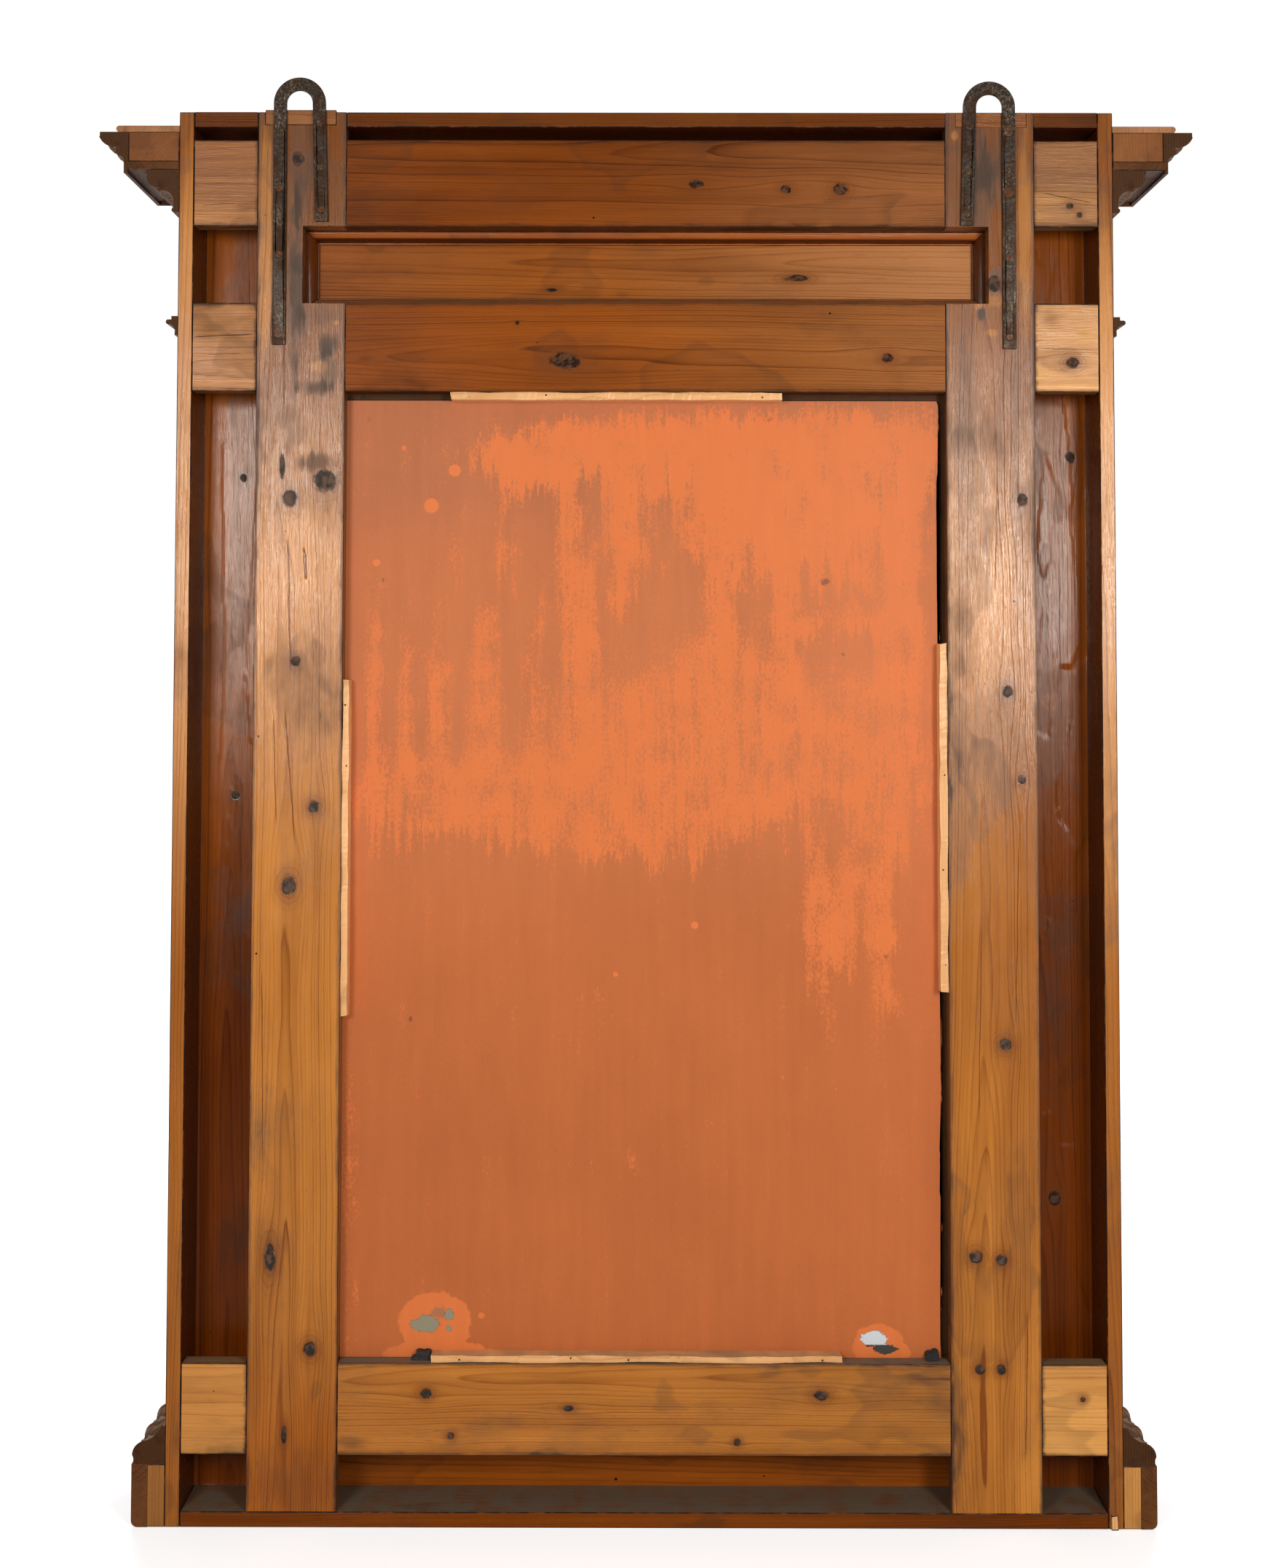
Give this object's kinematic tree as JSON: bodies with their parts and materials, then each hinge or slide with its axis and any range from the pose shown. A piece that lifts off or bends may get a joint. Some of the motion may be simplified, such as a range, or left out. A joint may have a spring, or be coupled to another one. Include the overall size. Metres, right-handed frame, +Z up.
{
  "type": "carved wood mirror",
  "caption": "Tall architectural mirror with a carved cornice and base, a pine stile and rail back, a painted plate and two iron hanging loops.",
  "frame": {"origin": "on the floor under the middle of the whole object", "axes": "+Z up, the mirror faces -Y, its back faces +Y, +X to the right of someone who looks into the mirror"},
  "size_m": [1.602, 0.232, 2.0901],
  "materials": {
    "old_pine": "aged pine, oiled, darker towards the top",
    "fresh_pine": "paler planed pine with fine cracks",
    "front_wood": "dark stained and polished on the face, brown inside",
    "stained_moulding": "carved, dark stained and waxed",
    "mirror_plate": "silvered glass, orange paint on the back",
    "hanger_iron": "brown black iron with rust",
    "screw_steel": "dull steel",
    "dark_wedge": "dirty offcut"
  },
  "bodies": {
    "root": {"apron_board": "front_wood", "base_moulding_front": "stained_moulding", "base_moulding_left": "stained_moulding", "base_moulding_right": "stained_moulding", "bed_moulding_front": "stained_moulding", "bed_moulding_left": "stained_moulding", "bed_moulding_right": "stained_moulding", "bottom_board": "old_pine", "bottom_end_rails": "fresh_pine", "bottom_rail": "old_pine", "cornice_cover_boards": "stained_moulding", "cornice_packing_blocks": "fresh_pine", "corona_front": "stained_moulding", "corona_left": "stained_moulding", "corona_right": "stained_moulding", "crown_moulding_front": "stained_moulding", "crown_moulding_left": "stained_moulding", "crown_moulding_right": "stained_moulding", "foot_shim": "fresh_pine", "frieze_frame_bottom": "front_wood", "frieze_frame_left": "front_wood", "frieze_frame_right": "front_wood", "frieze_frame_top": "front_wood", "frieze_panel": "front_wood", "glazing_strip_bottom": "fresh_pine", "glazing_strip_left": "fresh_pine", "glazing_strip_right": "fresh_pine", "glazing_strip_top": "fresh_pine", "hanger_left": "hanger_iron", "hanger_right": "hanger_iron", "hanger_screws_large": "screw_steel", "hanger_screws_small": "screw_steel", "head_board": "front_wood", "middle_end_rails": "fresh_pine", "middle_rail": "old_pine", "mirror_plate": "mirror_plate", "pilaster_board_left": "front_wood", "pilaster_board_right": "front_wood", "plate_wedges": "dark_wedge", "plinth_facing_front": "stained_moulding", "plinth_facing_left": "stained_moulding", "plinth_facing_right": "stained_moulding", "plinth_packing_blocks": "fresh_pine", "side_board_left": "old_pine", "side_board_right": "old_pine", "sight_moulding_bottom": "stained_moulding", "sight_moulding_left": "stained_moulding", "sight_moulding_right": "stained_moulding", "sight_moulding_top": "stained_moulding", "stile_head_fillets": "fresh_pine", "stile_left": "old_pine", "stile_right": "old_pine", "string_moulding_front": "stained_moulding", "string_moulding_left": "stained_moulding", "string_moulding_right": "stained_moulding", "top_board": "old_pine", "upper_end_rails": "fresh_pine", "upper_front_board": "front_wood", "upper_rail": "old_pine"}
  },
  "joints": []
}
